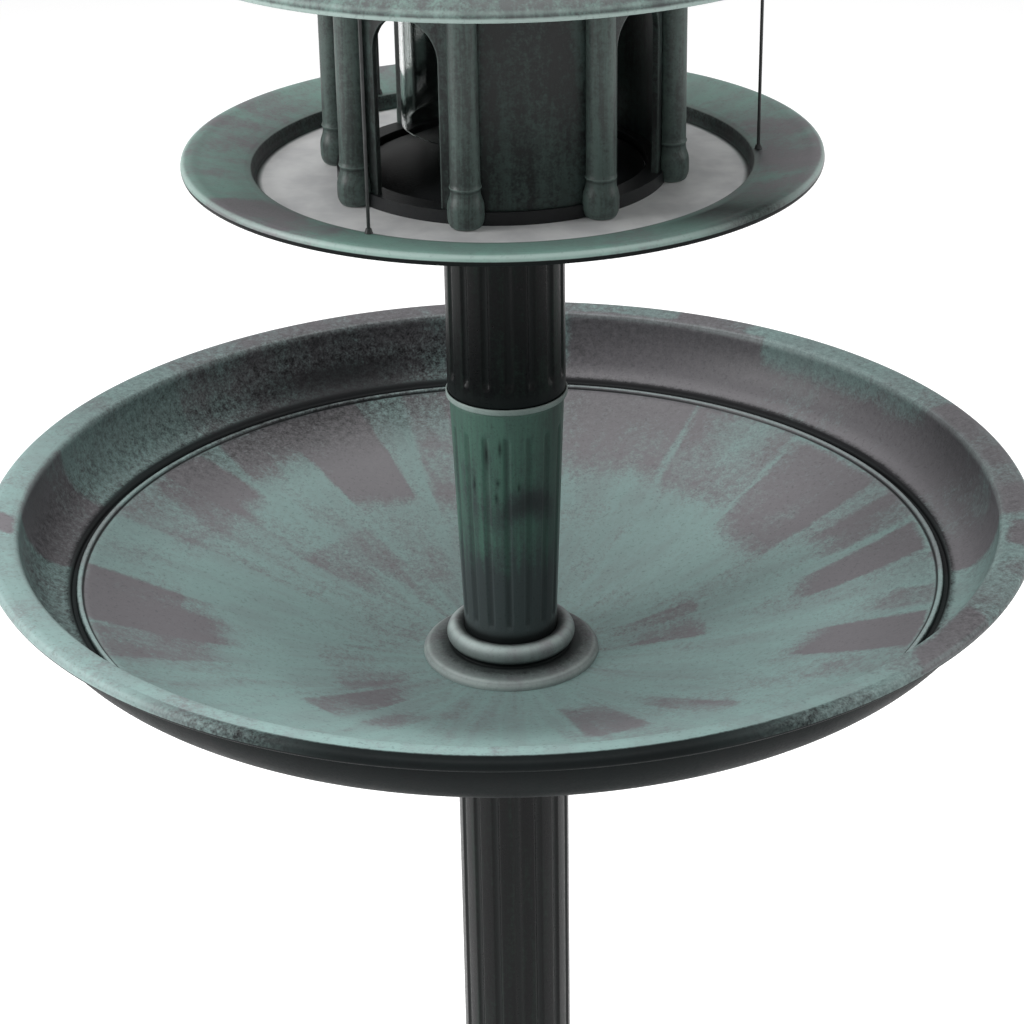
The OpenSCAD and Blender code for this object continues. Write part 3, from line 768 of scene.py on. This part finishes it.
def add_bead(node):
    """The light ring on top of a pole section, with a seat for the next section."""
    segments = 192
    z = low_z(node)
    seat_z = z + BEAD_SEAT_H
    points = refine(rounded([
        (POLE_BORE_R, z, 0.2), (POLE_R - 0.4, z, 0.2), (POLE_R + 0.9, z + 0.7, 0.6),
        (POLE_R + 0.9, z + 2.9, 0.6), (POLE_R + 0.5, z + 3.4, 0.2), (POLE_R + 0.1, z + 3.3, 0.1),
        (POLE_R + 0.1, seat_z, 0.1), (POLE_BORE_R, seat_z, 0.2),
    ]), lambda r, z: 1.5)
    bead = turned(node + "_moulded", points, "stand", bead_paint, "painted_ring", [node], segments)
    theta = ring_grid(points, segments)[2]
    # Painted light on the front left of the bead, painted shade towards the back right
    set_attribute(bead, "tone", 0.66 + 0.34 * np.cos(theta - math.radians(-150.0)))


def add_pole():
    dark = (dark_pole_paint, "painted_dark_pole")
    add_pole_section("pole_upper_section", *dark, low_z("joint_bead") + BEAD_SEAT_H, 13.0)
    green = (green_pole_paint, "painted_green_pole")
    add_pole_section("pole_tapered_section", *green, FLOOR_Z + COLLAR_SEAT_H, 13.0, TAPER_FOOT_R,
                     TAPER_TOP_R, TAPER_BORE_R, first=-1.2, depth=0.7, contrast=0.35)
    add_pole_section("pole_middle_section", *dark, low_z("pole_lower_ring") + BEAD_SEAT_H, 12.0)
    add_pole_section("pole_lower_section", *dark, FOOT_TOP_Z + COLLAR_SEAT_H, 16.0)
    add_collar("bath_collar", TAPER_FOOT_R, FLOOR_Z)
    add_collar("base_collar", POLE_R, FOOT_TOP_Z)
    add_bead("joint_bead")
    add_bead("pole_lower_ring")


# ---------------------------------------------------------------- feeder tray and house


def add_tray():
    """The tray with its rolled lip, sloping brim, sunk seed floor and the spigot under it."""
    brim_z, step_z = TRAY_Z - 1.1, TRAY_Z - 5.7
    under_z = SEED_Z - 3.0
    spigot_z = under_z - 34.0
    outline = rounded([
        (TRAY_HUB_R - 3.0, spigot_z, 0.4), (TRAY_HUB_R, spigot_z, 0.6), (TRAY_HUB_R, under_z, 0.4),
        (SEED_R - 0.5, under_z, 1.4), (SEED_R + 2.4, step_z - 3.0, 1.0),
        (TRAY_R - 6.0, brim_z - 3.0, 0.8), (TRAY_R - 4.4, TRAY_Z - 5.0, 0.8),
        (TRAY_R - 0.8, TRAY_Z - 5.0, 1.4), (TRAY_R, TRAY_Z - 3.0, 1.2),
        (TRAY_R - 0.6, TRAY_Z - 0.3, 1.8), (TRAY_R - 4.6, TRAY_Z, 1.8),
        (TRAY_R - 9.0, brim_z - 0.2, 1.6),
        (SEED_R + 0.3, step_z, 0.6), (SEED_R - 0.8, SEED_Z, 0.6), (TRAY_HUB_R - 3.0, SEED_Z, 0.3),
    ])
    segments = 384
    points = refine(outline, lambda r, z: 3.0)
    tray = turned("feeder_tray_moulded", points, "feeder", tray_paint, "painted_tray", ["feeder_tray"],
                  segments)
    r, z, theta = ring_grid(points, segments)
    under = underside(points)
    brim = smooth(r, SEED_R + 2.0, SEED_R + 6.0)
    spots = 0.5 * np.sin(3.0 * theta + 2.0) + 0.5 * np.sin(5.0 * theta + 1.2)
    thick = 0.14 * bump_at(theta, -92.0, 30.0)
    thin = 0.12 * smooth(spots, 0.2, 0.7) * smooth(r, SEED_R, SEED_R + 8.0)
    set_attribute(tray, "patch", thick - thin)
    set_attribute(tray, "dust", np.where(under, 0.0, 1.0 - smooth(r, SEED_R - 4.0, SEED_R - 1.5)))
    # Painted shade along the step down to the seed floor, and darker patches on the brim at the front
    # right and the front left
    step_shade = 1.0 - 0.85 * np.exp(-(((r - SEED_R) / 1.3) ** 2))
    dark_patch = 1.0 - (0.9 * bump_at(theta, -42.0, 14.0) + 0.26 * bump_at(theta, -146.0, 14.0)) * brim
    set_attribute(tray, "tone", np.where(under, BARE_TONE, step_shade * dark_patch))


def add_pilasters():
    """Round pilasters with a moulded foot and head, let into the house wall."""
    low, high = SEED_Z, FRAME_Z
    outline = rounded([
        (0.0, low, 0.0), (6.6, low, 1.6), (8.0, low + 3.4, 2.4), (8.0, low + 10.5, 2.4),
        (6.6, low + 14.5, 1.2), (6.4, low + 17.0, 0.6), (7.1, low + 18.0, 0.8), (6.5, low + 19.4, 0.6),
        (6.3, high - 15.0, 0.6), (7.0, high - 13.8, 0.8), (6.4, high - 12.4, 0.6), (6.6, high - 9.0, 1.6),
        (8.0, high - 6.0, 1.0), (8.0, high, 0.4), (0.0, high, 0.0),
    ])

    def step(r, z):
        return 1.2 if r > 5.0 and (z < low + 22.0 or z > high - 18.0) else 6.0

    points = refine(outline, step)
    wall_r = HOUSE_R * MM
    for number in range(1, PILASTERS + 1):
        azimuth = math.radians(PILASTER_FIRST + 360.0 / PILASTERS * (number - 1))
        centre = (PILASTER_CENTRE_R * math.cos(azimuth), PILASTER_CENTRE_R * math.sin(azimuth))
        node = f"pilaster_{number}"
        piece = turned(node + "_moulded", points, "feeder", pilaster_paint, "painted_pilaster", [node],
                       64, None, centre)
        for vertex in piece.data.vertices:
            reach = math.hypot(vertex.co.x, vertex.co.y)
            if 0.0 < reach < wall_r:
                vertex.co.x *= wall_r / reach
                vertex.co.y *= wall_r / reach


# ---------------------------------------------------------------- roof and finial


def add_roof():
    """The domed roof with shallow ribs, a rolled eave, a locating skirt and the bosses for the wires."""
    dome_foot, dome_r = FRAME_Z + 13.0, ROOF_R - 10.0
    dome_h = ROOF_TOP_Z - dome_foot

    def dome(r, t=0.0):
        return dome_foot + (dome_h - t) * math.sqrt(max(0.0, 1.0 - (r / (dome_r - t)) ** 2))

    def dome_line(t=0.0):
        reach = [(dome_r - t) * math.cos(a) for a in np.radians(np.linspace(0.0, 87.0, 40))]
        return [(r, dome(r, t), 0.0) for r in reach]

    eave = [
        (ROOF_R - 4.0, FRAME_Z, 0.8), (ROOF_R, FRAME_Z, 1.0), (ROOF_R, FRAME_Z + 4.0, 1.6),
        (ROOF_R - 3.0, FRAME_Z + 7.0, 1.6), (dome_r + 2.0, dome_foot - 3.0, 1.6),
    ]
    hole = [(5.0, ROOF_TOP_Z, 0.4), (5.0, ROOF_TOP_Z - ROOF_WALL, 0.4)]
    under_eave = [(dome_r - ROOF_WALL, dome_foot - 3.0, 1.0), (ROOF_R - 5.5, FRAME_Z + 4.0, 1.0)]
    outline = rounded(eave + dome_line() + hole + dome_line(ROOF_WALL)[::-1] + under_eave)

    def ribs(theta, r, z):
        middle = np.sqrt(np.maximum(0.0, 1.0 - (r / (dome_r - 0.5 * ROOF_WALL)) ** 2))
        outer = (z > dome_foot + 4.0) & (z > dome_foot + (dome_h - 0.5 * ROOF_WALL) * middle)
        turn = (theta + math.pi / 16) % (math.pi / 8) - math.pi / 16
        across = np.exp(-((turn * r / 2.2) ** 2))
        fade = smooth(r, 22.0, 34.0) * (1.0 - smooth(r, dome_r - 12.0, dome_r - 4.0))
        rib = across * fade * outer
        return -0.8 * rib, -0.5 * rib

    finish = ("roof", roof_paint, "painted_roof")
    turned("roof_shell_dome", refine(outline, lambda r, z: 3.5), *finish, ["roof_shell"], 384, ribs)
    ledge_z, skirt_z, skirt_top = FRAME_TOP_Z + 0.3, FRAME_Z - 4.0, dome(SKIRT_R) - 2.0
    skirt = rounded([
        (SKIRT_R, skirt_z, 0.6), (SKIRT_R + 3.0, skirt_z, 0.8), (SKIRT_R + 3.0, skirt_top, 0.4),
        (SKIRT_R, skirt_top, 0.4), (SKIRT_R, ledge_z + 3.0, 0.6), (SKIRT_R - 8.0, ledge_z + 3.0, 0.6),
        (SKIRT_R - 8.0, ledge_z, 0.4), (SKIRT_R, ledge_z, 0.4),
    ])
    turned("roof_shell_skirt", refine(skirt, lambda r, z: 4.0), *finish, (), 192)
    boss_z, boss_top = FRAME_Z + 30.0, FRAME_Z + 45.0
    boss = rounded([(1.2, boss_z, 0.3), (3.2, boss_z, 0.5), (3.2, boss_top, 0.3), (1.2, boss_top, 0.3)])
    for number in range(1, WIRES + 1):
        low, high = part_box(f"guide_wire_{number}")
        centre = ((low[0] + high[0]) / 2 / MM, (low[1] + high[1]) / 2 / MM)
        turned(f"roof_boss_{number}", refine(boss, lambda r, z: 2.0), *finish, (), 32, None, centre)


def add_finial():
    """A ball on a turned stem, screwed down through the top of the roof."""
    foot, ball_r = ROOF_TOP_Z, 15.5
    ball_z = FINIAL_TOP_Z - ball_r
    ball = [(ball_r * math.cos(a), ball_z + ball_r * math.sin(a), 0.0)
            for a in np.radians(np.linspace(-62, 90, 27))]
    stem = [
        (0.0, foot - 12.0, 0.0), (4.9, foot - 12.0, 0.6), (4.9, foot, 0.2), (15.0, foot + 0.1, 0.6),
        (15.0, foot + 3.1, 1.2), (9.0, foot + 3.8, 0.8), (9.0, foot + 8.0, 1.2), (5.0, foot + 8.8, 1.6),
        (5.0, foot + 11.8, 0.6), (8.0, foot + 12.2, 0.8), (8.0, foot + 14.8, 0.8),
        (5.2, foot + 15.4, 0.4),
    ]
    points = refine(rounded(stem + ball), lambda r, z: 1.5)
    turned("roof_finial_turned", points, "roof", ring_paint, "painted_ring", ["roof_finial"], 128)


# ---------------------------------------------------------------- CAD nodes that keep their shape

KEPT = {
    "base_foot": foot_paint, "base_plate": black_plastic, "base_screws": steel, "filler_plug": rubber,
    "bath_socket": black_plastic, "tray_socket": black_plastic, "house_screws": steel,
    "house_plinth": black_plastic, "house_wall": house_paint, "top_frame": house_paint,
    "seed_cone": black_plastic, "hopper_tube": acrylic, "hopper_flange": black_plastic,
}


def paint_node(node, material):
    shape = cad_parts[node]
    shape.data.materials.clear()
    shape.data.materials.append(material)


# ---------------------------------------------------------------- the whole scene

add_camera()
add_studio()
add_bath()
add_pole()
add_tray()
add_pilasters()
add_roof()
add_finial()
for kept_node, kept_material in KEPT.items():
    paint_node(kept_node, kept_material)
for wire in range(1, WIRES + 1):
    paint_node(f"guide_wire_{wire}", wire_coat)
